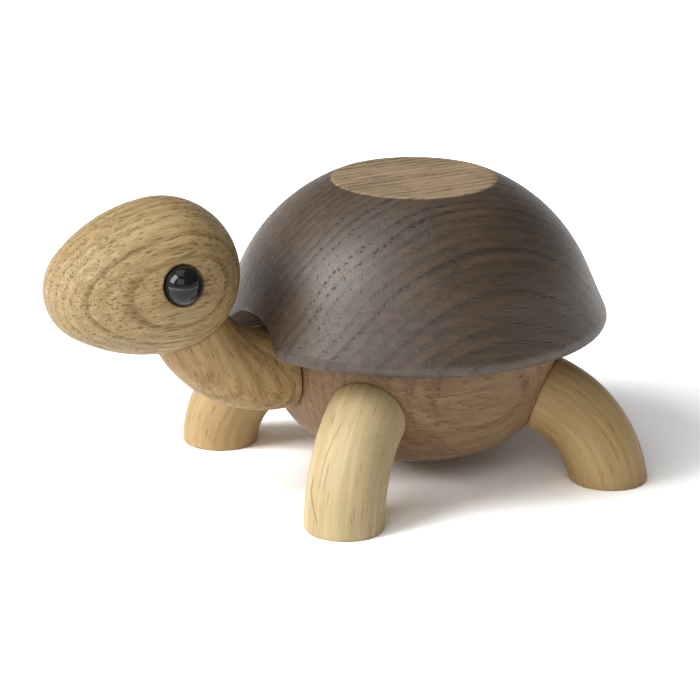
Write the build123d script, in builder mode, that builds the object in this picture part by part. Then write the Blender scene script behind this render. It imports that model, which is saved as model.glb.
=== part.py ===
from build123d import *
import os
from math import asin, atan2, cos, degrees, radians, sin, sqrt, tan

# A turtle figurine in turned oak: a bowl-shaped body on four bent legs, a lift-off domed shell,
# and an egg-shaped head on a bent neck. The legs are dowelled and glued. The neck turns in the body,
# and the head on the neck, on dowels gripped by rubber rings.
# Frame: +Z up, the snout points to -Y, the turtle's left side is +X. The origin is on the floor,
# in the middle of the overall length and width. Millimetres and degrees.

# Driving dimensions of the body, a ball with a fuller, flat-bottomed belly and a dished top
body_radius = 35.0
body_centre_height = 31.2
belly_drop = 25.8
belly_round = 21.0
dish_radius = 20.0
dish_lip_round = 1.0
spigot_shoulder = 4.0
spigot_height = 4.5
spigot_edge_round = 0.8

# Driving dimensions of the shell, a hollow dome over the body with a notch for the neck: a round rim that
# overhangs the body, a straight flare above it, and a crown arc up to the flat top. The loose shell rests
# turned a little towards the turtle's left.
shell_seat_rise = 3.3
shell_overhang = 10.4
rim_round = 2.3
flare_angle = 23.5
flare_height = 13.5
crown_radius = 40.38
shell_top_radius = 18.8
shell_top_edge_round = 0.5
shell_roof = 6.0
hollow_round_share = 0.67
shell_clearance = 0.3
notch_half_width = 13.2
notch_height = 8.3
notch_corner_round = 1.4
notch_corner_runout = 0.2
shell_turn_angle = 3.0

# Driving dimensions of the limbs, bent from one round stock, and of their seats on the body and head
limb_radius = 9.1
limb_end_chamfer = 0.4
sole_edge_round = 0.6
seat_gap = 0.25
seat_margin = 0.5
leg_bearing_angle = 43.5
front_leg_drop_angle = 17.0
front_leg_lean_angle = 1.0
hind_leg_drop_angle = 19.8
hind_leg_lean_angle = 7.5
neck_drop_angle = 5.7
neck_bend_radius = 23.66
neck_end_lift_angle = 63.88

# Driving dimensions of the head, an egg of two end balls with a flank curve between them
head_radius = 17.6
snout_radius = 12.2
snout_spacing = 15.5
snout_drop_angle = 5.7

# Driving dimensions of the eyes, domed beads on a stem, sunk in flat-bottomed sockets
eye_radius = 4.45
eye_dome_height = 2.5
eye_stem_radius = 1.5
eye_stem_length = 6.0
eye_bearing_angle = 84.0
eye_lift_angle = 7.3
eye_socket_clearance = 0.2
eye_socket_depth = 1.1

# Driving dimensions of the dowels and their friction rings
dowel_radius = 4.0
dowel_in_limb = 10.0
dowel_in_socket = 11.0
dowel_chamfer = 0.6
bore_clearance = 0.05
bore_end_space = 1.0
ring_section = 1.2
ring_clearance = 0.02
ring_depth = 6.0
groove_side_space = 0.1

# Sizes that follow the body ball
belly_height = body_centre_height - belly_drop
spigot_radius = body_radius - spigot_shoulder
shell_radius = body_radius + shell_overhang
shell_seat_height = body_centre_height + shell_seat_rise

# Seats are flats cut on the body ball and on the head ball, a little wider than the limb that butts there
body_flat = sqrt(body_radius**2 - (limb_radius + seat_margin) ** 2)
head_flat = sqrt(head_radius**2 - (limb_radius + seat_margin) ** 2)
neck_start = body_flat + seat_gap
neck_stop = head_flat + seat_gap
bore_radius = dowel_radius + bore_clearance
bore_depth = dowel_in_socket + bore_end_space

# The neck in the middle plane, as reach forward of the shell's axis and height above the floor
neck_start_reach = neck_start * cos(radians(neck_drop_angle))
neck_start_height = body_centre_height - neck_start * sin(radians(neck_drop_angle))
neck_bend_reach = neck_start_reach + neck_bend_radius * sin(radians(neck_drop_angle))
neck_bend_height = neck_start_height + neck_bend_radius * cos(radians(neck_drop_angle))
neck_end_reach = neck_bend_reach + neck_bend_radius * sin(radians(neck_end_lift_angle))
neck_end_height = neck_bend_height - neck_bend_radius * cos(radians(neck_end_lift_angle))
head_reach = neck_end_reach + neck_stop * cos(radians(neck_end_lift_angle))
head_height = neck_end_height + neck_stop * sin(radians(neck_end_lift_angle))

# The shell's axis stands behind the origin so that the overall length is centred
snout_reach = head_reach + snout_spacing * cos(radians(snout_drop_angle)) + snout_radius
shell_y = (snout_reach - shell_radius) / 2

# Each leg: bearing from straight ahead towards the turtle's left, drop below level where it leaves
# the body, and lean off upright where it meets the floor
legs = {
    "front_left": (leg_bearing_angle, front_leg_drop_angle, front_leg_lean_angle),
    "front_right": (-leg_bearing_angle, front_leg_drop_angle, front_leg_lean_angle),
    "hind_left": (180 - leg_bearing_angle, hind_leg_drop_angle, hind_leg_lean_angle),
    "hind_right": (leg_bearing_angle - 180, hind_leg_drop_angle, hind_leg_lean_angle),
}

upward = Vector(0, 0, 1)
shell_axis = Axis((0, shell_y, 0), upward)
turning_plane = Plane(origin=(0, shell_y, 0), x_dir=(1, 0, 0), z_dir=(0, -1, 0))


def outward(bearing):
    # Level direction away from the shell's axis
    return Vector(sin(radians(bearing)), -cos(radians(bearing)), 0)


def limb_plane(bearing):
    # Upright plane through the shell's axis: x is reach, y is height
    return Plane(
        origin=(0, shell_y, 0),
        x_dir=outward(bearing),
        z_dir=outward(bearing).cross(upward),
    )


def body_peg(bearing, drop):
    # Plane at the body ball's centre, facing out along a peg that points below level
    return Plane(
        origin=(0, shell_y, body_centre_height),
        x_dir=outward(bearing).cross(upward),
        z_dir=outward(bearing) * cos(radians(drop)) - upward * sin(radians(drop)),
    )


def peg_axis(peg):
    return Axis(peg.origin, peg.z_dir)


def section_plane(peg):
    # Plane along a peg: x is distance from its axis, y is distance out along it
    return Plane(origin=peg.origin, x_dir=peg.x_dir, z_dir=peg.x_dir.cross(peg.z_dir))


middle_plane = limb_plane(0)
head_centre = middle_plane.from_local_coords(Vector(head_reach, head_height, 0))
head_plane = Plane(
    origin=head_centre,
    x_dir=outward(0) * cos(radians(snout_drop_angle)) - upward * sin(radians(snout_drop_angle)),
    z_dir=middle_plane.z_dir,
)

leg_pegs = {name: body_peg(bearing, drop) for name, (bearing, drop, lean) in legs.items()}
neck_peg = body_peg(0, neck_drop_angle)
head_peg = Plane(
    origin=head_centre,
    x_dir=(1, 0, 0),
    z_dir=outward(0) * -cos(radians(neck_end_lift_angle)) - upward * sin(radians(neck_end_lift_angle)),
)

os.makedirs("parts", exist_ok=True)

# Body: a ball turned to a bowl, with a spigot for the shell, a dish inside it and five limb seats
belly_turn = degrees(asin((belly_drop - belly_round) / (body_radius - belly_round)))
belly_flat_radius = (body_radius - belly_round) * cos(radians(belly_turn))
seat_radius = sqrt(body_radius**2 - shell_seat_rise**2)
seat_turn = degrees(asin(shell_seat_rise / body_radius))
spigot_top = shell_seat_height + spigot_height
with BuildPart() as body:
    with BuildSketch(turning_plane):
        with BuildLine():
            Polyline((0, spigot_top), (0, belly_height), (belly_flat_radius, belly_height))
            CenterArc((belly_flat_radius, belly_height + belly_round), belly_round, -90, 90 - belly_turn)
            CenterArc((0, body_centre_height), body_radius, -belly_turn, belly_turn + seat_turn)
            Polyline(
                (seat_radius, shell_seat_height),
                (spigot_radius, shell_seat_height),
                (spigot_radius, spigot_top),
                (0, spigot_top),
            )
        make_face()
    revolve(axis=shell_axis)
    fillet(body.faces().sort_by(Axis.Z)[-1].edges(), radius=spigot_edge_round)
    with Locations((0, shell_y, spigot_top)):
        Sphere(dish_radius, mode=Mode.SUBTRACT)
    top_face = body.faces().filter_by(GeomType.PLANE).sort_by(Axis.Z)[-1]
    fillet(top_face.inner_wires().edges(), radius=dish_lip_round)
    for peg in [*leg_pegs.values(), neck_peg]:
        with BuildSketch(peg.offset(body_flat)):
            Circle(limb_radius + 2 * seat_margin)
        extrude(amount=body_radius, mode=Mode.SUBTRACT)
        with BuildSketch(peg.offset(body_flat)):
            Circle(bore_radius)
        extrude(amount=-bore_depth, mode=Mode.SUBTRACT)
body.part.label = "body"
export_step(body.part, "parts/body.step")

# Shell: turned dome over the body's spigot
rim_centre_radius = shell_radius - rim_round
rim_centre_height = shell_seat_height + rim_round
flare_start_radius = rim_centre_radius + rim_round * cos(radians(flare_angle))
flare_start_height = rim_centre_height + rim_round * sin(radians(flare_angle))
flare_end_height = shell_seat_height + flare_height
flare_end_radius = flare_start_radius - (flare_end_height - flare_start_height) * tan(radians(flare_angle))
crown_centre_radius = flare_end_radius - crown_radius * cos(radians(flare_angle))
crown_centre_height = flare_end_height - crown_radius * sin(radians(flare_angle))
crown_end_reach = shell_top_radius - crown_centre_radius
shell_height = crown_centre_height + sqrt(crown_radius**2 - crown_end_reach**2)
mouth_radius = spigot_radius + shell_clearance
roof_height = shell_height - shell_roof
hollow_round = hollow_round_share * (roof_height - shell_seat_height)
wall_top_height = roof_height - hollow_round

# The neck's notch is an arch, with rounded corners where it runs out into the rim's underside
arch_radius = (notch_half_width**2 + notch_height**2) / (2 * notch_height)
arch_centre_height = shell_seat_height + notch_height - arch_radius
corner_centre_height = shell_seat_height + notch_corner_round - notch_corner_runout
corner_rise = corner_centre_height - arch_centre_height
corner_reach = sqrt((arch_radius + notch_corner_round) ** 2 - corner_rise**2)
corner_turn = degrees(atan2(corner_rise, corner_reach))
notch_plane = Plane(
    origin=(0, shell_y, 0),
    x_dir=outward(90 + shell_turn_angle),
    z_dir=outward(shell_turn_angle),
)
with BuildPart() as shell:
    with BuildSketch(turning_plane):
        with BuildLine():
            Polyline((0, roof_height), (0, shell_height), (shell_top_radius, shell_height))
            TangentArc(
                (flare_end_radius, flare_end_height),
                (shell_top_radius, shell_height),
                tangent=(-sin(radians(flare_angle)), cos(radians(flare_angle))),
            )
            Line((flare_end_radius, flare_end_height), (flare_start_radius, flare_start_height))
            CenterArc((rim_centre_radius, rim_centre_height), rim_round, -90, 90 + flare_angle)
            Polyline(
                (rim_centre_radius, shell_seat_height),
                (mouth_radius, shell_seat_height),
                (mouth_radius, wall_top_height),
            )
            CenterArc((mouth_radius - hollow_round, wall_top_height), hollow_round, 0, 90)
            Line((mouth_radius - hollow_round, roof_height), (0, roof_height))
        make_face()
    revolve(axis=shell_axis)
    fillet(shell.faces().sort_by(Axis.Z)[-1].edges(), radius=shell_top_edge_round)
    with BuildSketch(notch_plane):
        with BuildLine():
            CenterArc((0, arch_centre_height), arch_radius, corner_turn, 90 - corner_turn)
            CenterArc(
                (corner_reach, corner_centre_height),
                notch_corner_round,
                180 + corner_turn,
                90 - corner_turn,
            )
            Polyline(
                (corner_reach, corner_centre_height - notch_corner_round),
                (corner_reach, shell_seat_height - notch_height),
                (0, shell_seat_height - notch_height),
            )
            mirror(about=Plane.YZ)
        make_face()
    extrude(amount=shell_radius + rim_round, mode=Mode.SUBTRACT)
shell.part.label = "shell"
export_step(shell.part, "parts/shell.step")

# Neck: a bent length of round stock from the body's front seat to the head's seat
with BuildPart() as neck:
    with BuildSketch(neck_peg.offset(neck_start)):
        Circle(limb_radius)
    bend_centre = middle_plane.from_local_coords(Vector(neck_bend_reach, neck_bend_height, 0))
    revolve(axis=Axis(bend_centre, middle_plane.z_dir), revolution_arc=neck_drop_angle + neck_end_lift_angle)
    chamfer(neck.faces().filter_by(GeomType.PLANE).edges(), length=limb_end_chamfer)
    with BuildSketch(neck_peg.offset(neck_start), head_peg.offset(neck_stop)):
        Circle(dowel_radius)
    extrude(amount=dowel_in_limb, mode=Mode.SUBTRACT)
neck.part.label = "neck"
export_step(neck.part, "parts/neck.step")

# Legs: bent lengths of the same stock, butted on the body's seats and cut off flat at the floor
for name, (bearing, drop, lean) in legs.items():
    start_height = body_centre_height - body_flat * sin(radians(drop))
    bend_radius = start_height / (cos(radians(drop)) - sin(radians(lean)))
    bend_reach = body_flat * cos(radians(drop)) - bend_radius * sin(radians(drop))
    bend_height = start_height - bend_radius * cos(radians(drop))
    upright = limb_plane(bearing)
    bend_centre = upright.from_local_coords(Vector(bend_reach, bend_height, 0))
    with BuildPart() as leg:
        with BuildSketch(leg_pegs[name].offset(body_flat)):
            Circle(limb_radius)
        revolve(axis=Axis(bend_centre, -upright.z_dir), revolution_arc=90 + lean - drop)
        split(bisect_by=Plane.XY, keep=Keep.TOP)
        chamfer(leg.faces().filter_by(GeomType.PLANE).sort_by(Axis.Z)[-1].edges(), length=limb_end_chamfer)
        fillet(leg.faces().filter_by(GeomType.PLANE).sort_by(Axis.Z)[0].edges(), radius=sole_edge_round)
        with BuildSketch(leg_pegs[name].offset(body_flat)):
            Circle(dowel_radius)
        extrude(amount=dowel_in_limb, mode=Mode.SUBTRACT)
    leg.part.label = f"leg_{name}"
    export_step(leg.part, f"parts/leg_{name}.step")

# Head: an egg turned about its snout line, with the neck's seat below and an eye socket on each side
flank_radius = (head_radius**2 + snout_spacing**2 - snout_radius**2) / (2 * (head_radius - snout_radius))
flank_turn = degrees(atan2(snout_spacing, flank_radius - head_radius))
eye_rim = sqrt(head_radius**2 - (eye_radius + eye_socket_clearance) ** 2)
eye_floor = eye_rim - eye_socket_depth
eye_pegs = {}
for name, side in {"left": 1, "right": -1}.items():
    eye_line = (
        head_plane.x_dir * cos(radians(eye_lift_angle)) * cos(radians(eye_bearing_angle))
        + Vector(side, 0, 0) * cos(radians(eye_lift_angle)) * sin(radians(eye_bearing_angle))
        + head_plane.y_dir * sin(radians(eye_lift_angle))
    )
    eye_pegs[name] = Plane(origin=head_centre, x_dir=eye_line.cross(upward), z_dir=eye_line)
with BuildPart() as head:
    with BuildSketch(head_plane):
        with BuildLine():
            CenterArc((0, 0), head_radius, 90, 90)
            CenterArc((0, head_radius - flank_radius), flank_radius, 90 - flank_turn, flank_turn)
            CenterArc((snout_spacing, 0), snout_radius, 0, 90 - flank_turn)
            Line((-head_radius, 0), (snout_spacing + snout_radius, 0))
        make_face()
    revolve(axis=Axis(head_centre, head_plane.x_dir))
    with BuildSketch(head_peg.offset(head_flat)):
        Circle(limb_radius + 2 * seat_margin)
    extrude(amount=head_radius, mode=Mode.SUBTRACT)
    with BuildSketch(head_peg.offset(head_flat)):
        Circle(bore_radius)
    extrude(amount=-bore_depth, mode=Mode.SUBTRACT)
    for peg in eye_pegs.values():
        with BuildSketch(peg.offset(eye_floor)):
            Circle(eye_radius + eye_socket_clearance)
        extrude(amount=head_radius, mode=Mode.SUBTRACT)
        with BuildSketch(peg.offset(eye_floor)):
            Circle(eye_stem_radius)
        extrude(amount=-eye_stem_length, mode=Mode.SUBTRACT)
head.part.label = "head"
export_step(head.part, "parts/head.step")

# Eyes: a dome on a short skirt, with a stem glued in the head
eye_dome_radius = (eye_radius**2 + eye_dome_height**2) / (2 * eye_dome_height)
eye_dome_turn = degrees(atan2(eye_radius, eye_dome_radius - eye_dome_height))
for name, peg in eye_pegs.items():
    with BuildPart() as eye:
        with BuildSketch(section_plane(peg)):
            with BuildLine():
                Polyline(
                    (0, eye_rim + eye_dome_height),
                    (0, eye_floor - eye_stem_length),
                    (eye_stem_radius, eye_floor - eye_stem_length),
                    (eye_stem_radius, eye_floor),
                    (eye_radius, eye_floor),
                    (eye_radius, eye_rim),
                )
                CenterArc(
                    (0, eye_rim + eye_dome_height - eye_dome_radius),
                    eye_dome_radius,
                    90 - eye_dome_turn,
                    eye_dome_turn,
                )
            make_face()
        revolve(axis=peg_axis(peg))
    eye.part.label = f"eye_{name}"
    export_step(eye.part, f"parts/eye_{name}.step")

# Leg dowels: plain, glued in the leg and in the body
for name, peg in leg_pegs.items():
    with BuildPart() as dowel:
        with BuildSketch(peg.offset(body_flat - dowel_in_socket)):
            Circle(dowel_radius)
        extrude(amount=dowel_in_socket + dowel_in_limb)
        chamfer(dowel.faces().filter_by(GeomType.PLANE).edges(), length=dowel_chamfer)
    dowel.part.label = f"leg_{name}_dowel"
    export_step(dowel.part, f"parts/leg_{name}_dowel.step")

# Swivel dowels: glued in the neck's ends, each with a ring in a groove that grips the socket it turns in
ring_outer_radius = bore_radius - ring_clearance
groove_radius = ring_outer_radius - ring_section - ring_clearance
groove_width = ring_section + 2 * groove_side_space
swivels = {"neck": (neck_peg, body_flat), "head": (head_peg, head_flat)}
for name, (peg, flat) in swivels.items():
    with BuildPart() as dowel:
        with BuildSketch(peg.offset(flat - dowel_in_socket)):
            Circle(dowel_radius)
        extrude(amount=dowel_in_socket + seat_gap + dowel_in_limb)
        chamfer(dowel.faces().filter_by(GeomType.PLANE).edges(), length=dowel_chamfer)
        with BuildSketch(peg.offset(flat - ring_depth - groove_width / 2)):
            Circle(dowel_radius)
            Circle(groove_radius, mode=Mode.SUBTRACT)
        extrude(amount=groove_width, mode=Mode.SUBTRACT)
    dowel.part.label = f"{name}_dowel"
    export_step(dowel.part, f"parts/{name}_dowel.step")
    with BuildPart(peg.offset(flat - ring_depth)) as ring:
        Torus(ring_outer_radius - ring_section / 2, ring_section / 2)
    ring.part.label = f"{name}_ring"
    export_step(ring.part, f"parts/{name}_ring.step")
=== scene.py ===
import bpy
import math
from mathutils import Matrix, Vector


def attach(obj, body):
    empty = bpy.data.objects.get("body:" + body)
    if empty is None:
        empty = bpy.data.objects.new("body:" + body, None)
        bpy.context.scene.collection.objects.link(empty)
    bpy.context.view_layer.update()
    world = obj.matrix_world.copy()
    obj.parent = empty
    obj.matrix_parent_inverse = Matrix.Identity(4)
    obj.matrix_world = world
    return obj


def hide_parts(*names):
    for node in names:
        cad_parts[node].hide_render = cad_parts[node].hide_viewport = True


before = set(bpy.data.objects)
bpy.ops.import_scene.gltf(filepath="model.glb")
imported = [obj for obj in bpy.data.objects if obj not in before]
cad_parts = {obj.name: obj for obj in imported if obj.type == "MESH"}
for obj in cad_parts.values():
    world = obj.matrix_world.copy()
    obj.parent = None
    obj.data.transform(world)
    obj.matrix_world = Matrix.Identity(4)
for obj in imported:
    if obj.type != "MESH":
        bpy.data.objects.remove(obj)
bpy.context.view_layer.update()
scene = bpy.context.scene
scene.view_settings.view_transform = "Standard"
print("frame loaded:", len(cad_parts), "nodes")


# camera, lights and floor
cameraSettings = {
    "place": (0.586686, -0.292068, 0.242909),
    "look": (-0.847829, 0.431417, -0.308327),
    "lens": 152.64,
    "sensor": 36.0,
}
bpy.ops.object.select_all(action="DESELECT")
bpy.ops.object.camera_add(location=cameraSettings["place"])
camera = bpy.context.object
camera.rotation_euler = Vector(cameraSettings["look"]).to_track_quat("-Z", "Y").to_euler()
camera.data.lens = cameraSettings["lens"]
camera.data.sensor_width = cameraSettings["sensor"]
scene.camera = camera
print("camera set")


def addSocket(tree, source, target):
    # a socket is linked, a plain value is set
    if isinstance(source, bpy.types.NodeSocket):
        tree.links.new(source, target)
    else:
        target.default_value = source


def mathNode(tree, operation, *values, clamp=False):
    node = tree.nodes.new("ShaderNodeMath")
    node.operation = operation
    node.use_clamp = clamp
    for value, socket in zip(values, node.inputs):
        addSocket(tree, value, socket)
    return node.outputs[0]


def vectorNode(tree, operation, *values):
    node = tree.nodes.new("ShaderNodeVectorMath")
    node.operation = operation
    for value, socket in zip(values, node.inputs):
        addSocket(tree, value, socket)
    return node.outputs["Value" if operation in ("LENGTH", "DOT_PRODUCT") else "Vector"]


def rangeNode(tree, value, low, high, toLow=0.0, toHigh=1.0):
    node = tree.nodes.new("ShaderNodeMapRange")
    node.interpolation_type = "SMOOTHSTEP"
    for socket, item in zip(node.inputs, (value, low, high, toLow, toHigh)):
        addSocket(tree, item, socket)
    return node.outputs[0]


def mixColour(tree, factor, first, second, blend="MIX"):
    node = tree.nodes.new("ShaderNodeMix")
    node.data_type = "RGBA"
    node.blend_type = blend
    node.clamp_result = False
    for name, item in (("Factor_Float", factor), ("A_Color", first), ("B_Color", second)):
        socket = next(s for s in node.inputs if s.identifier == name)
        addSocket(tree, item, socket)
    return next(s for s in node.outputs if s.identifier == "Result_Color")


def noiseNode(tree, vector, scale=1.0, detail=2.0, roughness=0.5):
    node = tree.nodes.new("ShaderNodeTexNoise")
    tree.links.new(vector, node.inputs["Vector"])
    node.inputs["Scale"].default_value = scale
    node.inputs["Detail"].default_value = detail
    node.inputs["Roughness"].default_value = roughness
    return node


studio = {
    "ambient": 0.12, "horizon": (0.08, 0.36),
    "lamps": {
        "keySoftbox": {"aim": (-0.069, -0.785, 0.616), "far": 1.6, "size": (0.80, 1.15), "power": 32.0},
        "fillSoftbox": {"aim": (0.62, -0.52, 0.58), "far": 1.7, "size": (1.2, 0.9), "power": 6.0},
        "topSoftbox": {"aim": (-0.12, -0.2, 1.0), "far": 1.6, "size": (1.2, 1.0), "power": 5.0},
    },
    "aimPoint": (0.0, 0.01, 0.035),
    "floorSize": 1.4,
    "floorLit": 1.6,
    "floorEdge": (0.12, 0.55, 1.0, 2.2),
    "floorBounce": 0.95,
}
for lampName, lamp in studio["lamps"].items():
    aim = Vector(lamp["aim"]).normalized()
    bpy.ops.object.light_add(type="AREA", location=Vector(studio["aimPoint"]) + aim * lamp["far"])
    lampObject = bpy.context.object
    lampObject.name = lampName
    lampObject.rotation_euler = aim.to_track_quat("Z", "Y").to_euler()
    lampObject.data.shape = "RECTANGLE"
    lampObject.data.size, lampObject.data.size_y = lamp["size"]
    lampObject.data.energy = lamp["power"]

world = bpy.data.worlds.new("studioAir")
scene.world = world
world.use_nodes = True
airTree = world.node_tree
airPath = airTree.nodes.new("ShaderNodeLightPath")
seenRay = mathNode(airTree, "MAXIMUM", airPath.outputs["Is Camera Ray"], airPath.outputs["Is Glossy Ray"])
seenRay = mathNode(airTree, "MAXIMUM", seenRay, airPath.outputs["Is Transmission Ray"])
airWay = airTree.nodes.new("ShaderNodeSeparateXYZ")
airTree.links.new(airTree.nodes.new("ShaderNodeTexCoord").outputs["Generated"], airWay.inputs[0])
backdrop = rangeNode(airTree, airWay.outputs["Z"], *studio["horizon"], 1.0, 0.0)
backdrop = mathNode(airTree, "MAXIMUM", backdrop, airPath.outputs["Is Camera Ray"])
seenRay = mathNode(airTree, "MULTIPLY", seenRay, backdrop)
airLevel = mathNode(airTree, "MULTIPLY_ADD", seenRay, 1.0 - studio["ambient"], studio["ambient"])
airTree.links.new(airLevel, airTree.nodes["Background"].inputs["Strength"])
airTree.nodes["Background"].inputs["Color"].default_value = (1, 1, 1, 1)

bpy.ops.object.select_all(action="DESELECT")
bpy.ops.mesh.primitive_plane_add(size=studio["floorSize"])
floor = bpy.context.object
floor.name = "studioFloor"
floorMaterial = bpy.data.materials.new("whiteFloor")
floorMaterial.use_nodes = True
floorTree = floorMaterial.node_tree
floorTree.nodes.clear()
floorPath = floorTree.nodes.new("ShaderNodeLightPath")
floorRays = floorPath.outputs
floorSeen = mathNode(floorTree, "MAXIMUM", floorRays["Is Camera Ray"], floorRays["Is Glossy Ray"])
floorGain = studio["floorLit"] - studio["floorBounce"]
floorTone = mathNode(floorTree, "MULTIPLY_ADD", floorSeen, floorGain, studio["floorBounce"])
floorPlace = floorTree.nodes.new("ShaderNodeTexCoord").outputs["Object"]
floorFar = rangeNode(floorTree, vectorNode(floorTree, "LENGTH", floorPlace), *studio["floorEdge"])
floorTone = mathNode(floorTree, "MULTIPLY", floorTone, floorFar)
floorPaint = floorTree.nodes.new("ShaderNodeBsdfDiffuse")
floorTree.links.new(floorTone, floorPaint.inputs["Color"])
floorOut = floorTree.nodes.new("ShaderNodeOutputMaterial")
floorTree.links.new(floorPaint.outputs[0], floorOut.inputs["Surface"])
floor.data.materials.append(floorMaterial)
print("studio set")


# oak: rings about a pith line, pores and fibres along the grain
def grainTurn(grain):
    # turns the pattern's own Z onto the grain
    return Vector(grain).normalized().to_track_quat("Z", "Y").to_euler()


def makeOak(name, look):
    material = bpy.data.materials.new(name)
    material.use_nodes = True
    tree = material.node_tree
    shader = tree.nodes["Principled BSDF"]
    if look["follow"]:
        place = tree.nodes.new("ShaderNodeAttribute")
        place.attribute_name = "timber"
        stock = place.outputs["Vector"]
    else:
        stock = tree.nodes.new("ShaderNodeTexCoord").outputs["Object"]
    timber = tree.nodes.new("ShaderNodeMapping")
    timber.vector_type = "TEXTURE"
    timber.inputs["Location"].default_value = look["pith"]
    timber.inputs["Rotation"].default_value = grainTurn(look["grain"])
    timber.inputs["Scale"].default_value = (0.001, 0.001, 0.001)  # millimetres from here on
    tree.links.new(stock, timber.inputs["Vector"])
    point = timber.outputs[0]

    # slow and quick wander of the rings
    slow = vectorNode(tree, "MULTIPLY", point, (1 / 16, 1 / 16, 1 / 45))
    wander = vectorNode(tree, "SUBTRACT", noiseNode(tree, slow, 1.0, 1.0).outputs["Color"], (0.5, 0.5, 0.5))
    wander = vectorNode(tree, "MULTIPLY", wander, (look["wander"], look["wander"], 0.0))
    quick = vectorNode(tree, "MULTIPLY", point, (1 / 2.2, 1 / 2.2, 1 / 9))
    shiver = vectorNode(tree, "SUBTRACT", noiseNode(tree, quick, 1.0, 2.0).outputs["Color"], (0.5, 0.5, 0.5))
    shiver = vectorNode(tree, "MULTIPLY", shiver, (look["shiver"], look["shiver"], 0.0))
    bent = vectorNode(tree, "ADD", point, vectorNode(tree, "ADD", wander, shiver))
    radius = vectorNode(tree, "LENGTH", vectorNode(tree, "MULTIPLY", bent, (1, 1, 0)))
    growth = mathNode(tree, "DIVIDE", radius, look["ringWidth"])
    yearPart = mathNode(tree, "FRACT", growth)
    year = tree.nodes.new("ShaderNodeTexWhiteNoise")
    year.noise_dimensions = "1D"
    tree.links.new(mathNode(tree, "FLOOR", growth), year.inputs["W"])
    yearMood = year.outputs["Value"]

    # spring wood: a quick rise and a slow fall in each ring
    rise = rangeNode(tree, yearPart, 0.0, 0.16)
    fall = rangeNode(tree, yearPart, 0.14, look["springShare"], 1.0, 0.0)
    spring = mathNode(tree, "MULTIPLY", rise, fall)
    springMood = mathNode(tree, "MULTIPLY_ADD", yearMood, 0.8, 0.35)
    spring = mathNode(tree, "MULTIPLY", spring, springMood)

    # open pores, long along the grain and round across it, and finer ones between them
    def poreLayer(gap, length, size, more):
        space = vectorNode(tree, "MULTIPLY", bent, (1 / gap, 1 / gap, 1 / length))
        cells = tree.nodes.new("ShaderNodeTexVoronoi")
        cells.inputs["Scale"].default_value = 1.0
        tree.links.new(space, cells.inputs["Vector"])
        reach = mathNode(tree, "MULTIPLY_ADD", spring, more, size)
        core = mathNode(tree, "MULTIPLY", reach, 0.4)
        return rangeNode(tree, cells.outputs["Distance"], core, reach, 1.0, 0.0)

    coarse = poreLayer(look["poreGap"], look["poreLength"], look["poreSize"], look["poreSpring"])
    fine = poreLayer(
        look["poreGap"] * 0.5, look["poreLength"] * 0.6, look["poreSize"], look["poreSpring"] * 0.5,
    )
    pore = mathNode(tree, "MULTIPLY_ADD", fine, look["finePores"], coarse, clamp=True)

    # fine fibres, long streaks, dark lines and slow patches of tone
    fibreSpace = vectorNode(tree, "MULTIPLY", bent, (1 / 0.45, 1 / 0.45, 1 / 9.0))
    fibre = noiseNode(tree, fibreSpace, 1.0, 3.0, 0.6).outputs["Fac"]
    streakSpace = vectorNode(tree, "MULTIPLY", bent, (1 / 1.6, 1 / 1.6, 1 / 26.0))
    streak = noiseNode(tree, streakSpace, 1.0, 2.0, 0.5).outputs["Fac"]
    patchSpace = vectorNode(tree, "MULTIPLY", point, (1 / 11, 1 / 11, 1 / 20))
    patch = noiseNode(tree, patchSpace, 1.0, 2.0).outputs["Fac"]
    nearLine = mathNode(tree, "ABSOLUTE", mathNode(tree, "SUBTRACT", streak, 0.5))
    darkLine = rangeNode(tree, nearLine, 0.004, 0.022, 1.0, 0.0)
    darkLine = mathNode(tree, "MULTIPLY", darkLine, rangeNode(tree, patch, 0.45, 0.62))

    tone = mathNode(tree, "MULTIPLY", spring, look["ringTone"])
    for part, amount in ((fibre, "fibreTone"), (streak, "streakTone"), (patch, "patchTone")):
        tone = mathNode(tree, "MULTIPLY_ADD", mathNode(tree, "SUBTRACT", part, 0.5), look[amount], tone)
    tone = mathNode(tree, "ADD", tone, 0.35, clamp=True)
    colour = mixColour(tree, tone, (*look["pale"], 1), (*look["deep"], 1))
    if look["cap"]:
        # the flat top is lighter tan: partly sanded-back wood, partly painted sheen standing in for the grazing
        # reflection off the top
        height = tree.nodes.new("ShaderNodeSeparateXYZ")
        tree.links.new(stock, height.inputs[0])
        sandedAndSheenTop = rangeNode(tree, height.outputs["Z"], look["cap"]["low"], look["cap"]["high"])
        sandedSheenColour = mixColour(tree, tone, (*look["cap"]["pale"], 1), (*look["cap"]["deep"], 1))
        colour = mixColour(tree, sandedAndSheenTop, colour, sandedSheenColour)
    dark = mathNode(tree, "MULTIPLY", pore, look["poreTone"], clamp=True)
    dark = mathNode(tree, "MAXIMUM", dark, mathNode(tree, "MULTIPLY", darkLine, look["lineTone"]))

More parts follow.
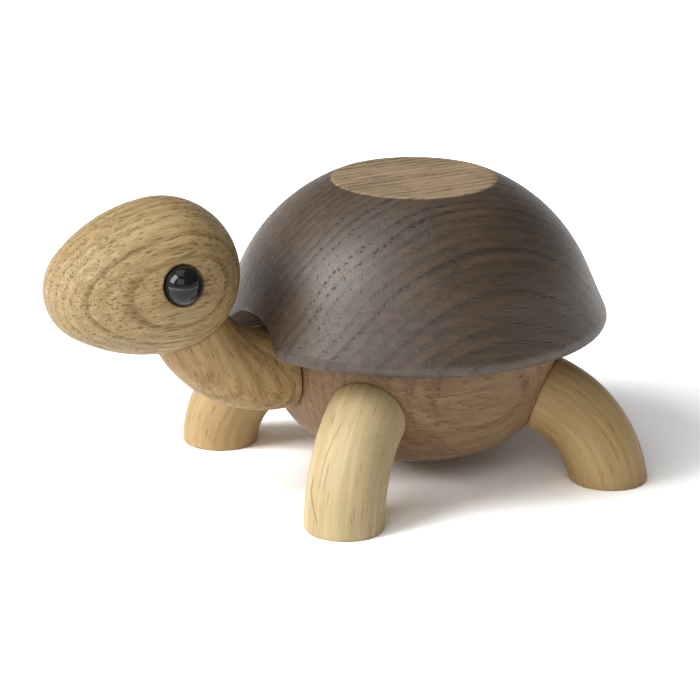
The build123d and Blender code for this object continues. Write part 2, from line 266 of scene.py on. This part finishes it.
    # drying checks along the stock, where the piece has them: (along, sideways) in millimetres
    for check in look["checks"]:
        split = tree.nodes.new("ShaderNodeSeparateXYZ")
        tree.links.new(vectorNode(tree, "MULTIPLY", stock, (1000, 1000, 1000)), split.inputs[0])
        across, sideways, along = split.outputs
        path = tree.nodes.new("ShaderNodeFloatCurve")
        curve = path.mapping.curves[0]
        while len(curve.points) < len(check["path"]):
            curve.points.new(0.5, 0.5)
        for spot, (far, side) in zip(curve.points, check["path"]):
            spot.location = (far / 30, side / 10)
        path.mapping.update()
        tree.links.new(mathNode(tree, "DIVIDE", along, 30.0), path.inputs["Value"])
        sway = noiseNode(tree, vectorNode(tree, "MULTIPLY", stock, (0, 0, 400)), 1.0, 3.0).outputs["Fac"]
        sway = mathNode(tree, "MULTIPLY_ADD", path.outputs[0], 10.0, mathNode(tree, "MULTIPLY", sway, 1.2))
        apart = mathNode(tree, "ABSOLUTE", mathNode(tree, "SUBTRACT", sideways, sway))
        crack = rangeNode(tree, apart, check["width"] * 0.3, check["width"], 1.0, 0.0)
        first, last = check["path"][0][0], check["path"][-1][0]
        crack = mathNode(tree, "MULTIPLY", crack, rangeNode(tree, along, first, first + 3))
        crack = mathNode(tree, "MULTIPLY", crack, rangeNode(tree, along, last - 3, last, 1.0, 0.0))
        crack = mathNode(tree, "MULTIPLY", crack, rangeNode(tree, across, 0.0, 2.0))
        dark = mathNode(tree, "MAXIMUM", dark, mathNode(tree, "MULTIPLY", crack, check["tone"]))
        pore = mathNode(tree, "MAXIMUM", pore, crack)
    colour = mixColour(tree, dark, colour, (*look["poreColour"], 1))
    tree.links.new(colour, shader.inputs["Base Color"])

    low, high = look["roughness"]
    rough = mathNode(tree, "MULTIPLY_ADD", pore, high - low, low)
    rough = mathNode(tree, "MULTIPLY_ADD", mathNode(tree, "SUBTRACT", fibre, 0.5), 0.12, rough)
    if look["cap"]:
        # the top mask also roughens the sanded top; its lighter colour above is partly painted sheen
        rough = mathNode(tree, "MULTIPLY_ADD", sandedAndSheenTop, look["cap"]["rougher"], rough, clamp=True)
    tree.links.new(rough, shader.inputs["Roughness"])

    height = mathNode(tree, "MULTIPLY", pore, -1.0)
    height = mathNode(tree, "MULTIPLY_ADD", fibre, 0.35, height)
    height = mathNode(tree, "MULTIPLY_ADD", spring, -0.25, height)
    bump = tree.nodes.new("ShaderNodeBump")
    bump.inputs["Strength"].default_value = look["relief"]
    bump.inputs["Distance"].default_value = 0.00012
    tree.links.new(height, bump.inputs["Height"])
    tree.links.new(bump.outputs["Normal"], shader.inputs["Normal"])
    shader.inputs["Specular IOR Level"].default_value = look["gloss"]
    return material


oakStart = {
    "follow": False, "checks": (), "cap": None, "grain": (0, 0, 1),
    "ringWidth": 2.3, "wander": 3.0, "shiver": 0.5, "springShare": 0.75,
    "poreGap": 0.75, "poreLength": 6.0, "poreSize": 0.22, "poreSpring": 0.2, "finePores": 0.5, "poreTone": 0.55,
    "ringTone": 0.35, "fibreTone": 0.9, "streakTone": 0.9, "patchTone": 0.6, "lineTone": 0.35,
    "roughness": (0.5, 0.66), "relief": 0.6, "gloss": 0.3,
}
headOak = makeOak("headOak", oakStart | {
    "grain": (0.0, -0.995, -0.0993), "pith": (0.055, -0.040, 0.056), "ringTone": 0.55,
    "poreGap": 0.7, "poreSize": 0.36, "poreSpring": 0.16, "finePores": 0.7, "poreTone": 0.7,
    "fibreTone": 1.1, "streakTone": 1.1, "lineTone": 0.5,
    "pale": (0.46, 0.342, 0.168), "deep": (0.25, 0.157, 0.064), "poreColour": (0.12, 0.074, 0.028),
})
neckOak = makeOak("neckOak", oakStart | {
    "grain": (0.0, -0.401, 0.916), "pith": (0.05, -0.06, 0.03),
    "poreTone": 0.65, "fibreTone": 1.3, "streakTone": 1.5, "lineTone": 0.6,
    "pale": (0.50, 0.34, 0.155), "deep": (0.26, 0.15, 0.056), "poreColour": (0.12, 0.064, 0.024),
})
bodyOak = makeOak("bodyOak", oakStart | {
    "grain": (0.02, 1.0, 0.03), "pith": (0.09, 0.02, 0.02), "lineTone": 0.6,
    "fibreTone": 1.2, "streakTone": 1.3,
    "pale": (0.325, 0.202, 0.104), "deep": (0.17, 0.094, 0.045), "poreColour": (0.07, 0.036, 0.016),
})
legStart = oakStart | {"follow": True, "ringTone": 0.2, "poreSize": 0.16, "poreTone": 0.45}
frontOak = makeOak("frontOak", legStart | {
    "pith": (0.06, 0.03, 0.0),
    "checks": (
        {
            "path": ((17.0, 5.4), (20.0, 5.3), (22.5, 4.7), (25.0, 3.4), (27.8, 2.1)),
            "width": 0.26, "tone": 0.85,
        },
        {
            "path": ((7.5, 0.1), (12.2, 1.7), (15.1, 2.6), (18.0, 3.0), (20.5, 3.1)),
            "width": 0.2, "tone": 0.6,
        },
    ),
    "pale": (0.60, 0.49, 0.275), "deep": (0.42, 0.305, 0.15), "poreColour": (0.26, 0.165, 0.075),
})
farOak = makeOak("farOak", legStart | {
    "pith": (0.05, -0.04, 0.0),
    "pale": (0.53, 0.37, 0.175), "deep": (0.37, 0.235, 0.10), "poreColour": (0.2, 0.12, 0.05),
})
hindOak = makeOak("hindOak", legStart | {
    "pith": (-0.03, 0.05, 0.0),
    "pale": (0.60, 0.415, 0.19), "deep": (0.39, 0.247, 0.104), "poreColour": (0.22, 0.13, 0.054),
})
shellOak = makeOak("shellOak", oakStart | {
    "grain": (-0.055, 0.995, -0.086), "pith": (-0.1209, 0.0231, 0.0862), "ringWidth": 2.5, "ringTone": 0.5,
    "poreGap": 0.9, "poreLength": 6.5, "poreSize": 0.14, "poreSpring": 0.34, "poreTone": 0.75,
    # flat top: lighter tan, partly sanded wood and partly painted sheen
    "cap": {
        "low": 0.0690, "high": 0.0692, "rougher": 0.34,
        "pale": (0.38, 0.27, 0.155), "deep": (0.13, 0.086, 0.048),
    },
    "fibreTone": 1.2, "streakTone": 1.2,
    "pale": (0.090, 0.059, 0.036), "deep": (0.033, 0.020, 0.013), "poreColour": (0.014, 0.009, 0.006),
    "roughness": (0.46, 0.6), "relief": 0.7, "gloss": 0.6,
})


def plainFinish(name, look):
    material = bpy.data.materials.new(name)
    material.use_nodes = True
    tree = material.node_tree
    shader = tree.nodes["Principled BSDF"]
    place = tree.nodes.new("ShaderNodeTexCoord")
    small = vectorNode(tree, "MULTIPLY", place.outputs["Object"], (1 / look["speck"],) * 3)
    speck = noiseNode(tree, small, 1.0, 3.0).outputs["Fac"]
    tree.links.new(mixColour(tree, speck, (*look["dark"], 1), (*look["light"], 1)), shader.inputs["Base Color"])
    low, high = look["roughness"]
    tree.links.new(mathNode(tree, "MULTIPLY_ADD", speck, high - low, low), shader.inputs["Roughness"])
    shader.inputs["Specular IOR Level"].default_value = look["gloss"]
    return material


eyeBlack = plainFinish("eyeBlack", {
    "speck": 0.0012, "dark": (0.006, 0.006, 0.007), "light": (0.012, 0.011, 0.011),
    "roughness": (0.05, 0.09), "gloss": 0.3,
})
ringRubber = plainFinish("ringRubber", {
    "speck": 0.0004, "dark": (0.018, 0.018, 0.018), "light": (0.035, 0.034, 0.033),
    "roughness": (0.6, 0.8), "gloss": 0.4,
})
dowelBeech = makeOak("dowelBeech", oakStart | {
    "grain": (0.0, -1.0, 0.1), "pith": (0.03, 0.0, 0.0), "poreGap": 0.45, "poreLength": 1.6, "lineTone": 0.0,
    "pale": (0.62, 0.45, 0.29), "deep": (0.47, 0.31, 0.185), "poreColour": (0.3, 0.18, 0.1),
})


# modelling helpers
def polar(centre, radius, start, stop, steps):
    # points along an arc, degrees, as (reach, height)
    turns = [math.radians(start + (stop - start) * i / steps) for i in range(steps + 1)]
    return [(centre[0] + radius * math.cos(t), centre[1] + radius * math.sin(t)) for t in turns]


def drawChain(name, points):
    # one vertex, extruded from point to point
    bpy.ops.object.select_all(action="DESELECT")
    bpy.ops.mesh.primitive_plane_add(size=0.001, location=points[0])
    piece = bpy.context.object
    piece.name = piece.data.name = name
    bpy.ops.object.transform_apply(location=True, rotation=True, scale=True)
    bpy.ops.object.mode_set(mode="EDIT")
    bpy.ops.mesh.select_mode(type="VERT")
    bpy.ops.mesh.select_all(action="SELECT")
    bpy.ops.mesh.merge(type="CENTER")
    for here, there in zip(points, points[1:]):
        bpy.ops.mesh.extrude_region_move(TRANSFORM_OT_translate={"value": there - here})
    return piece


def closeMesh():
    # in edit mode: weld, and point the faces outwards
    bpy.ops.mesh.select_all(action="SELECT")
    bpy.ops.mesh.remove_doubles(threshold=2e-6)
    bpy.ops.mesh.normals_make_consistent(inside=False)
    bpy.ops.object.mode_set(mode="OBJECT")


def turnOnLathe(name, outline, centre, axis, across, steps):
    # outline in millimetres: (distance from the axis, distance along it)
    axis, across, centre = Vector(axis).normalized(), Vector(across).normalized(), Vector(centre)
    points = [centre + (across * r + axis * h) * 0.001 for r, h in outline]
    piece = drawChain(name, points)
    bpy.ops.mesh.select_all(action="SELECT")
    bpy.ops.mesh.spin(steps=steps, angle=2 * math.pi, center=centre, axis=axis)
    closeMesh()
    return piece


def addRod(name, start, direction, radius, length, sides=64):
    # a plain cutter, from start along direction
    direction = Vector(direction).normalized()
    bpy.ops.object.select_all(action="DESELECT")
    bpy.ops.mesh.primitive_cylinder_add(
        vertices=sides, radius=radius, depth=length,
        location=Vector(start) + direction * length / 2,
        rotation=direction.to_track_quat("Z", "Y").to_euler(),
    )
    rod = bpy.context.object
    rod.name = name
    bpy.ops.object.transform_apply(location=True, rotation=True, scale=True)
    return rod


def applyModifier(piece, kind, **values):
    bpy.ops.object.select_all(action="DESELECT")
    bpy.context.view_layer.objects.active = piece
    piece.select_set(True)
    modifier = piece.modifiers.new(kind.lower(), kind)
    for key, value in values.items():
        setattr(modifier, key, value)
    bpy.ops.object.modifier_apply(modifier=modifier.name)


def cutAway(piece, cutters):
    for cutter in cutters:
        applyModifier(piece, "BOOLEAN", operation="DIFFERENCE", solver="EXACT", object=cutter)
        bpy.data.objects.remove(cutter)


def sandSmooth(piece, grit, passes, keep):
    # an even skin, the edges eased as by sanding, then fewer faces
    applyModifier(piece, "REMESH", mode="VOXEL", voxel_size=grit, use_smooth_shade=True)
    applyModifier(piece, "SMOOTH", factor=0.5, iterations=passes)
    applyModifier(piece, "DECIMATE", decimate_type="COLLAPSE", ratio=keep)


def finishPiece(piece, finish, node, body, smoothAngle=None):
    bpy.ops.object.select_all(action="DESELECT")
    bpy.context.view_layer.objects.active = piece
    piece.select_set(True)
    bpy.ops.object.transform_apply(location=True, rotation=True, scale=True)
    if smoothAngle is None:
        bpy.ops.object.shade_smooth()
    else:
        bpy.ops.object.shade_smooth_by_angle(angle=math.radians(smoothAngle))
    piece.data.materials.clear()
    piece.data.materials.append(finish)
    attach(piece, body)
    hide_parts(node)
    print("made", piece.name, len(piece.data.polygons), "faces")


shellMiddle = Vector((0.0, 0.0230806, 0.0))
upward = Vector((0.0, 0.0, 1.0))


def outwardOf(bearing):
    # level direction away from the shell's middle, from straight ahead to the turtle's left
    return Vector((math.sin(math.radians(bearing)), -math.cos(math.radians(bearing)), 0.0))


def pegLine(bearing, drop):
    return outwardOf(bearing) * math.cos(math.radians(drop)) - upward * math.sin(math.radians(drop))


# shell
shellForm = {
    "crown": ((3.7072, 31.8985), 40.38, 68.05, 23.5), "rim": ((43.1, 36.8), 2.3),
    "top": (18.45, 69.35), "mouth": 31.3, "seat": 34.5,
    "hollow": ((11.97, 44.02), 19.33), "roof": 63.35, "steps": 160,
    "turned": 3.0, "archRadius": 14.6464, "archHeight": 28.1536, "archFoot": 20.0, "archDepth": 0.06,
    "cornerRadius": 1.4, "cornerReach": 14.1612, "cornerHeight": 35.7, "cornerTurn": 28.05,
    "grit": 0.00042, "passes": 9, "keep": 0.4,
}
form = shellForm
crownCentre, crownRadius, crownTop, crownFoot = form["crown"]
shellLine = [(0.0, form["roof"]), (0.0, form["top"][1]), form["top"]]
shellLine += polar(crownCentre, crownRadius, crownTop - 0.4, crownFoot, 48)
shellLine += polar(*form["rim"], crownFoot, -90, 12)
shellLine += [(form["mouth"], form["seat"]), (form["mouth"], form["hollow"][0][1] - 2)]
shellLine += polar(*form["hollow"], 0, 90, 24) + [(0.0, form["roof"])]
shellDome = turnOnLathe("shellDome", shellLine, shellMiddle, upward, (1, 0, 0), form["steps"])
cornerReach, cornerHeight, cornerTurn = form["cornerReach"], form["cornerHeight"], form["cornerTurn"]
archLine = polar((cornerReach, cornerHeight), form["cornerRadius"], 270, 180 + cornerTurn, 8)
archLine += polar((0, form["archHeight"]), form["archRadius"], cornerTurn, 180 - cornerTurn, 40)
archLine += polar((-cornerReach, cornerHeight), form["cornerRadius"], -cornerTurn, -90, 8)
archLine += [(-cornerReach, form["archFoot"]), (cornerReach, form["archFoot"])]
archSide, archAhead = outwardOf(90 + form["turned"]), outwardOf(form["turned"])
archPoints = [shellMiddle + (archSide * x + upward * z) * 0.001 for x, z in archLine]
notchCutter = drawChain("notchCutter", archPoints)
bpy.ops.mesh.select_all(action="SELECT")
bpy.ops.mesh.edge_face_add()
bpy.ops.mesh.extrude_region_move(TRANSFORM_OT_translate={"value": archAhead * form["archDepth"]})
closeMesh()
cutAway(shellDome, [notchCutter])
sandSmooth(shellDome, form["grit"], form["passes"], form["keep"])
finishPiece(shellDome, shellOak, "shell", "shell")

# limb roots on the body and the head
limbForm = {
    "radius": 0.0091, "dowel": 0.004, "dowelDepth": 0.010, "endBevel": 0.0004, "endSteps": 2, "soleEase": 0.0006,
    "bodySeat": 0.033658, "neckGap": 0.00025, "ballHeight": 0.0312, "sides": 72, "steps": 36,
}
ballCentre = shellMiddle + upward * limbForm["ballHeight"]
legForm = {
    "leg_front_left": (43.5, 17.0, 1.0, frontOak), "leg_front_right": (-43.5, 17.0, 1.0, farOak),
    "leg_hind_left": (136.5, 19.8, 7.5, hindOak), "leg_hind_right": (-136.5, 19.8, 7.5, hindOak),
}
neckForm = {"drop": 5.7, "bend": 0.02366, "lift": 63.88, "rootSwell": 0.0008, "rootReach": 0.011}

# body
bodyForm = {
    "ball": 35.0, "shoulder": 5.41, "bellyTurn": -20.05, "belly": ((13.1514, 26.4), 21.0),
    "bellyHeight": 5.4, "spigot": (31.0, 39.0), "spigotRound": 0.8, "seat": 34.5, "dish": 20.0,
    "seatWidth": 0.0101, "bore": 0.00405, "boreDepth": 0.012, "cutterOver": 0.002, "cutterLength": 0.012,
    "steps": 144, "grit": 0.00045, "passes": 5, "keep": 0.6,
}
form = bodyForm
ballHeight = limbForm["ballHeight"] * 1000
spigotWide, spigotTop = form["spigot"]
bodyLine = polar((0, spigotTop), form["dish"], -90, -3, 24) + [(form["dish"] + 0.7, spigotTop)]
spigotRound = form["spigotRound"]
bodyLine += polar((spigotWide - spigotRound, spigotTop - spigotRound), spigotRound, 90, 0, 4)
bodyLine += [(spigotWide, form["seat"])]
bodyLine += polar((0, ballHeight), form["ball"], form["shoulder"], form["bellyTurn"], 32)
bodyLine += polar(*form["belly"], form["bellyTurn"], -90, 28)[1:] + [(0.0, form["bellyHeight"])]
bodyBall = turnOnLathe("bodyBall", bodyLine, shellMiddle, upward, (1, 0, 0), form["steps"])
seatCutters = []
for bearing, drop in [leg[:2] for leg in legForm.values()] + [(0.0, neckForm["drop"])]:
    line = pegLine(bearing, drop)
    seat = ballCentre + line * limbForm["bodySeat"]
    mouth, depth = seat + line * form["cutterOver"], form["boreDepth"] + form["cutterOver"]
    seatCutters.append(addRod("seatCutter", seat, line, form["seatWidth"], form["cutterLength"]))
    seatCutters.append(addRod("boreCutter", mouth, -line, form["bore"], depth, 48))
cutAway(bodyBall, seatCutters)
sandSmooth(bodyBall, form["grit"], form["passes"], form["keep"])
finishPiece(bodyBall, bodyOak, "body", "body")


# legs and neck, bent from round stock
def bendLimb(name, start, line, bendCentre, bendAxis, angle):
    form = limbForm
    bpy.ops.object.select_all(action="DESELECT")
    bpy.ops.mesh.primitive_circle_add(
        vertices=form["sides"], radius=form["radius"], location=start,
        rotation=Vector(line).to_track_quat("Z", "Y").to_euler(),
    )
    limb = bpy.context.object
    limb.name = limb.data.name = name
    bpy.ops.object.transform_apply(location=True, rotation=True, scale=True)
    bpy.ops.object.mode_set(mode="EDIT")
    bpy.ops.mesh.select_mode(type="EDGE")
    bpy.ops.mesh.select_all(action="SELECT")
    bpy.ops.mesh.spin(steps=form["steps"], angle=angle, center=bendCentre, axis=bendAxis)
    return limb


def selectRing(limb, test):
    # in edit mode: picks the open edges that pass the test
    bpy.ops.mesh.select_all(action="DESELECT")
    bpy.ops.object.mode_set(mode="OBJECT")
    used = {}
    for face in limb.data.polygons:
        for key in face.edge_keys:
            used[key] = used.get(key, 0) + 1
    for edge in limb.data.edges:
        isOpen = used.get(tuple(sorted(edge.vertices)), 0) == 1
        edge.select = isOpen and all(test(limb.data.vertices[v].co) for v in edge.vertices)
    bpy.ops.object.mode_set(mode="EDIT")
    bpy.ops.mesh.select_mode(type="EDGE")


def capEnd(limb, test, boreLine):
    # closes an open end, eases its edge, and bores it for a dowel
    bevel = limbForm["endBevel"]
    selectRing(limb, test)
    bpy.ops.mesh.edge_face_add()
    bpy.ops.mesh.bevel(offset=bevel, segments=limbForm["endSteps"], affect="EDGES", clamp_overlap=True)
    bpy.ops.mesh.select_mode(type="FACE")
    bpy.ops.mesh.select_all(action="DESELECT")
    bpy.ops.object.mode_set(mode="OBJECT")
    caps = [f for f in limb.data.polygons if len(f.vertices) > 20 and test(f.center)]
    for face in caps:
        face.select = True
    bpy.ops.object.mode_set(mode="EDIT")
    bpy.ops.mesh.inset(thickness=limbForm["radius"] - bevel - limbForm["dowel"], depth=0)
    bpy.ops.mesh.extrude_region_move(TRANSFORM_OT_translate={"value": boreLine * limbForm["dowelDepth"]})


for legNode, (bearing, drop, lean, legFinish) in legForm.items():
    line, out = pegLine(bearing, drop), outwardOf(bearing)
    start = ballCentre + line * limbForm["bodySeat"]
    bend = start.z / (math.cos(math.radians(drop)) - math.sin(math.radians(lean)))
    bendCentre = start - (out * math.sin(math.radians(drop)) + upward * math.cos(math.radians(drop))) * bend
    bendAxis = out.cross(upward)
    legName = "leg" + legNode[3:].title().replace("_", "")
    leg = bendLimb(legName, start, line, bendCentre, bendAxis, math.radians(90 + lean - drop))
    # sawn off level, then eased down to the sole
    ease, wide = limbForm["soleEase"], limbForm["radius"]
    bpy.ops.mesh.select_all(action="SELECT")
    bpy.ops.mesh.bisect(plane_co=(0, 0, ease), plane_no=upward, clear_inner=True, threshold=1e-6)
    selectRing(leg, lambda co: co.z < ease + 1e-5)
    foot = bendCentre + out * math.sqrt(bend ** 2 - bendCentre.z ** 2)
    easeLine = polar((wide - ease, ease), ease, 0, -90, 4)
    for (reach, height), (nextReach, nextHeight) in zip(easeLine, easeLine[1:]):
        bpy.ops.mesh.extrude_region_move(TRANSFORM_OT_translate={"value": (0, 0, nextHeight - height)})
        shrink = nextReach / reach
        bpy.ops.transform.resize(value=(shrink, shrink, 1), center_override=foot)
    bpy.ops.mesh.edge_face_add()
    capEnd(leg, lambda co: abs((co - start).dot(line)) < 1e-5, line)
    closeMesh()
    # straightened place in the stock: across, sideways, along
    timber = leg.data.attributes.new("timber", "FLOAT_VECTOR", "POINT")
    for vertex in leg.data.vertices:
        arm = vertex.co - bendCentre
        level, rise = arm.dot(out), arm.dot(upward)
        turned = math.atan2(level, rise) - math.radians(drop)
        timber.data[vertex.index].vector = (math.hypot(level, rise) - bend, arm.dot(bendAxis), turned * bend)
    finishPiece(leg, legFinish, legNode, "body", 40)

neckLine = pegLine(0.0, neckForm["drop"])
neckStart = ballCentre + neckLine * (limbForm["bodySeat"] + limbForm["neckGap"])
neckDrop, neckLift = math.radians(neckForm["drop"]), math.radians(neckForm["lift"])
neckOver = Vector((0.0, -math.sin(neckDrop), math.cos(neckDrop)))
neckBend = neckStart + neckOver * neckForm["bend"]
neckTurn = math.radians(neckForm["drop"] + neckForm["lift"])
neckPiece = bendLimb("neckBend", neckStart, neckLine, neckBend, upward.cross(outwardOf(0)), neckTurn)
# the root swells a little on its upper side
selectRing(neckPiece, lambda co: abs((co - neckStart).dot(neckLine)) < 1e-5)
swellWay = {
    "use_proportional_edit": True, "proportional_edit_falloff": "SMOOTH",
    "proportional_size": neckForm["rootReach"],
}
rootScale = 1 + neckForm["rootSwell"] / limbForm["radius"]
bpy.ops.transform.resize(value=(rootScale,) * 3, center_override=neckStart, **swellWay)
bpy.ops.transform.translate(value=neckOver * neckForm["rootSwell"], **swellWay)
neckTop = Vector((0.0, -math.cos(neckLift), math.sin(neckLift)))
neckEnd = neckBend + Vector((0.0, -math.sin(neckLift), -math.cos(neckLift))) * neckForm["bend"]
capEnd(neckPiece, lambda co: abs((co - neckStart).dot(neckLine)) < 1e-5, neckLine)
capEnd(neckPiece, lambda co: abs((co - neckEnd).dot(neckTop)) < 1e-5, -neckTop)
closeMesh()
finishPiece(neckPiece, neckOak, "neck", "neck", 40)

# head
headForm = {
    "centre": (0.0, -0.0408573, 0.0544282), "snoutDrop": 5.7, "ball": 17.6, "snout": 12.2, "spacing": 15.5,
    "flank": ((0.0, -19.545), 37.145, 38.415),
    "seat": 0.014751, "seatWidth": 0.0101, "seatCutter": 0.012,
    "bore": 0.00405, "boreDepth": 0.012, "boreOver": 0.002,
    "eyeBearing": 84.0, "eyeLift": 7.3, "socket": 0.00465, "socketFloor": 0.0158746, "socketCutter": 0.006,
    "stem": 0.0015, "stemDepth": 0.006, "stemOver": 0.001,
    "steps": 128, "grit": 0.0003, "passes": 5, "keep": 0.7,
}
form = headForm
headCentre = Vector(form["centre"])
snoutDrop = math.radians(form["snoutDrop"])
snoutLine = Vector((0.0, -math.cos(snoutDrop), -math.sin(snoutDrop)))
crownLine = Vector((0.0, -math.sin(snoutDrop), math.cos(snoutDrop)))
flankCentre, flankRadius, flankTurn = form["flank"]
eggLine = polar((0, 0), form["ball"], 180, 90, 32)
eggLine += polar(flankCentre, flankRadius, 90, 90 - flankTurn, 20)[1:]
eggLine += polar((form["spacing"], 0), form["snout"], 90 - flankTurn, 0, 20)[1:]
headEgg = turnOnLathe("headEgg", [(r, h) for h, r in eggLine], headCentre, snoutLine, crownLine, form["steps"])
headCutters = [
    addRod("seatCutter", headCentre - neckTop * form["seat"], -neckTop, form["seatWidth"], form["seatCutter"]),
    addRod(
        "boreCutter", headCentre - neckTop * (form["seat"] + form["boreOver"]), neckTop,
        form["bore"], form["boreDepth"] + form["boreOver"], 48,
    ),
]
eyeLines = {}
for sideName, side in (("left", 1.0), ("right", -1.0)):
    bearing, lift = math.radians(form["eyeBearing"]), math.radians(form["eyeLift"])
    level = snoutLine * math.cos(bearing) + Vector((side, 0, 0)) * math.sin(bearing)
    eyeLines[sideName] = (level * math.cos(lift) + crownLine * math.sin(lift)).normalized()
    floorPoint = headCentre + eyeLines[sideName] * form["socketFloor"]
    eyeAxis = eyeLines[sideName]
    stemMouth, stemLength = floorPoint + eyeAxis * form["stemOver"], form["stemDepth"] + form["stemOver"]
    headCutters.append(addRod("socketCutter", floorPoint, eyeAxis, form["socket"], form["socketCutter"]))
    headCutters.append(addRod("stemCutter", stemMouth, -eyeAxis, form["stem"], stemLength, 32))
cutAway(headEgg, headCutters)
sandSmooth(headEgg, form["grit"], form["passes"], form["keep"])
finishPiece(headEgg, headOak, "head", "head")

# eyes
eyeForm = {
    "radius": 4.45, "rim": 16.9746, "floor": 15.8746, "dome": (4.4753, 16.4993), "turn": 83.9,
    "stem": 1.5, "stemFoot": 9.8746, "edge": 0.15, "steps": 96,
}
form = eyeForm
domeRadius, domeHeight = form["dome"]
eyeLine = [(0.0, form["stemFoot"]), (form["stem"], form["stemFoot"]), (form["stem"], form["floor"])]
eyeLine += [(form["radius"] - form["edge"], form["floor"]), (form["radius"], form["floor"] + form["edge"])]
eyeLine += [(form["radius"], form["rim"] - form["edge"])]
eyeLine += polar((0, domeHeight), domeRadius, 90 - form["turn"] + 2.0, 90, 28)
for sideName, eyeAxis in eyeLines.items():
    eyeName, eyeAcross = "eyeBead" + sideName.title(), eyeAxis.cross(upward)
    eye = turnOnLathe(eyeName, eyeLine, headCentre, eyeAxis, eyeAcross, form["steps"])
    finishPiece(eye, eyeBlack, "eye_" + sideName, "head", 35)

# dowels and friction rings stay as packed, with their own finish
for nodeName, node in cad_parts.items():
    finish = ringRubber if nodeName.endswith("_ring") else dowelBeech
    if not node.material_slots:
        node.data.materials.append(finish)
    for slot in node.material_slots:
        slot.material = finish
print("finishes set")
